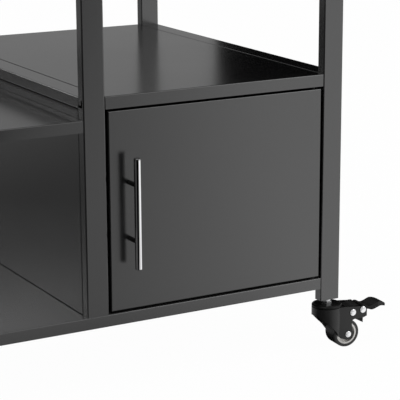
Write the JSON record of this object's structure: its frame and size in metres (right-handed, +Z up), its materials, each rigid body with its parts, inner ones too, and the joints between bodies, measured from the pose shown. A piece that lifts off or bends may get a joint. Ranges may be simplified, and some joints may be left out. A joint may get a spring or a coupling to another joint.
{
  "type": "grill cart",
  "caption": "Steel grill cart on lockable casters with a worktop, stepped shelves, an open bay and a cabinet with a hinged door.",
  "frame": {"origin": "on the ground, under the centre of the cart's bounding box", "axes": "+X runs from the open bay to the cabinet, -Y is the front with the door, +Z is up"},
  "size_m": [1.1924, 0.7794, 0.9],
  "materials": {
    "powder_coat": "semi-gloss black powder coat on folded sheet and tube",
    "chrome": "polished chrome plate",
    "zinc_steel": "bright zinc plate",
    "rim_steel": "turned steel rim",
    "black_steel": "black coated pressed steel",
    "black_screw": "black oxide",
    "black_plastic": "moulded black nylon",
    "tread": "black rubber tread",
    "magnet": "nickel plated magnet"
  },
  "bodies": {
    "frame": {"front_left_post": "powder_coat", "front_middle_post": "powder_coat", "front_right_post": "powder_coat", "back_left_post": "powder_coat", "back_middle_post": "powder_coat", "back_right_post": "powder_coat", "deck_pan": "powder_coat", "deck_tubes": "powder_coat", "deck_side_rails": "powder_coat", "cabinet_shelf_pan": "powder_coat", "cabinet_shelf_rails": "powder_coat", "cabinet_shelf_tubes": "powder_coat", "bay_shelf_pan": "powder_coat", "bay_shelf_rail": "powder_coat", "bay_shelf_tubes": "powder_coat", "worktop_pan": "powder_coat", "worktop_rails": "powder_coat", "worktop_tubes": "powder_coat", "cabinet_left_wall": "powder_coat", "cabinet_right_wall": "powder_coat", "cabinet_back_panel": "powder_coat", "stiffening_channels": "powder_coat", "panel_screws": "black_screw", "door_stop_strip": "powder_coat", "catch_cups": "black_plastic", "catch_magnets": "magnet", "pivot_bushes": "black_plastic", "post_plugs": "black_plastic", "caster_stems": "zinc_steel", "stem_nuts": "zinc_steel", "caster_caps": "black_steel"},
    "door": {"door_shell": "powder_coat", "door_inner_panel": "powder_coat", "door_pivot_blocks": "zinc_steel", "door_pivot_pins": "black_steel", "handle_bar": "chrome", "handle_standoffs": "chrome", "handle_screws": "zinc_steel"},
    "swivel_fl": {"fork_fl": "black_steel", "axle_bolt_fl": "zinc_steel", "brake_bolts_fl": "zinc_steel"},
    "wheel_fl": {"hub_fl": "rim_steel", "tyre_fl": "tread"},
    "brake_fl": {"brake_lever_fl": "black_plastic", "brake_shoe_fl": "black_plastic"},
    "swivel_fr": {"fork_fr": "black_steel", "axle_bolt_fr": "zinc_steel", "brake_bolts_fr": "zinc_steel"},
    "wheel_fr": {"hub_fr": "rim_steel", "tyre_fr": "tread"},
    "brake_fr": {"brake_lever_fr": "black_plastic", "brake_shoe_fr": "black_plastic"},
    "swivel_bl": {"fork_bl": "black_steel", "axle_bolt_bl": "zinc_steel"},
    "wheel_bl": {"hub_bl": "rim_steel", "tyre_bl": "tread"},
    "swivel_br": {"fork_br": "black_steel", "axle_bolt_br": "zinc_steel"},
    "wheel_br": {"hub_br": "rim_steel", "tyre_br": "tread"}
  },
  "joints": [
    {"name": "door_hinge", "type": "hinge", "parent": "frame", "child": "door", "pos_m": [0.436, -0.34605, 0.3175], "axis": [0, 0, 1], "range_deg": [0, 110]},
    {"name": "swivel_fl_turn", "type": "hinge", "parent": "frame", "child": "swivel_fl", "pos_m": [-0.472, -0.34525, 0.08], "axis": [0, 0, 1], "continuous": true},
    {"name": "wheel_fl_roll", "type": "hinge", "parent": "swivel_fl", "child": "wheel_fl", "pos_m": [-0.50542, -0.34759, 0.0265], "axis": [-0.0698, 0.9976, 0], "continuous": true},
    {"name": "brake_fl_press", "type": "hinge", "parent": "swivel_fl", "child": "brake_fl", "pos_m": [-0.51499, -0.34826, 0.0675], "axis": [0.0698, -0.9976, 0], "range_deg": [0, 15]},
    {"name": "swivel_fr_turn", "type": "hinge", "parent": "frame", "child": "swivel_fr", "pos_m": [0.472, -0.34525, 0.08], "axis": [0, 0, 1], "continuous": true},
    {"name": "wheel_fr_roll", "type": "hinge", "parent": "swivel_fr", "child": "wheel_fr", "pos_m": [0.50542, -0.34759, 0.0265], "axis": [0.0698, 0.9976, 0], "continuous": true},
    {"name": "brake_fr_press", "type": "hinge", "parent": "swivel_fr", "child": "brake_fr", "pos_m": [0.51499, -0.34826, 0.0675], "axis": [0.0698, 0.9976, 0], "range_deg": [0, 15]},
    {"name": "swivel_bl_turn", "type": "hinge", "parent": "frame", "child": "swivel_bl", "pos_m": [-0.472, 0.36175, 0.08], "axis": [0, 0, 1], "continuous": true},
    {"name": "wheel_bl_roll", "type": "hinge", "parent": "swivel_bl", "child": "wheel_bl", "pos_m": [-0.50542, 0.35941, 0.0265], "axis": [-0.0698, 0.9976, 0], "continuous": true},
    {"name": "swivel_br_turn", "type": "hinge", "parent": "frame", "child": "swivel_br", "pos_m": [0.472, 0.36175, 0.08], "axis": [0, 0, 1], "continuous": true},
    {"name": "wheel_br_roll", "type": "hinge", "parent": "swivel_br", "child": "wheel_br", "pos_m": [0.50542, 0.35941, 0.0265], "axis": [0.0698, 0.9976, 0], "continuous": true}
  ]
}
